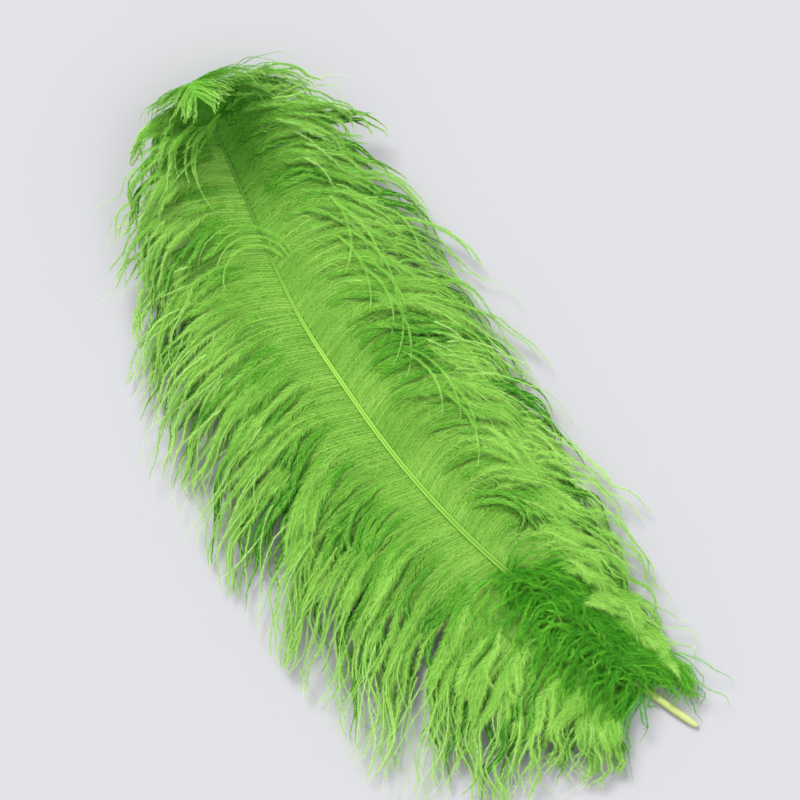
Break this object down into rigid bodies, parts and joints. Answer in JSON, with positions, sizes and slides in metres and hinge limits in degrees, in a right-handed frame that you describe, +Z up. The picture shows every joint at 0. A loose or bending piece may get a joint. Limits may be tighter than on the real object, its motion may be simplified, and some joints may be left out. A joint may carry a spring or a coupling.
{
  "type": "ostrich feather",
  "caption": "Large green-dyed ostrich plume lying on its back: a bowed, grooved shaft, two wide rows of loose drooping barbs and a tip that curls over.",
  "frame": {"origin": "under the middle of the whole plume, on the surface that it lies on", "axes": "+Y from the quill's end towards the curled tip, +Z up from the surface, out of the side of the shaft that is grooved"},
  "size_m": [0.2882, 0.63, 0.0721],
  "materials": {
    "shaft": "satin horn, dyed yellow-green",
    "barbs": "soft matte fibres, dyed bright green"
  },
  "bodies": {
    "root": {"shaft": "shaft", "left_vane": "barbs", "right_vane": "barbs"}
  },
  "joints": []
}
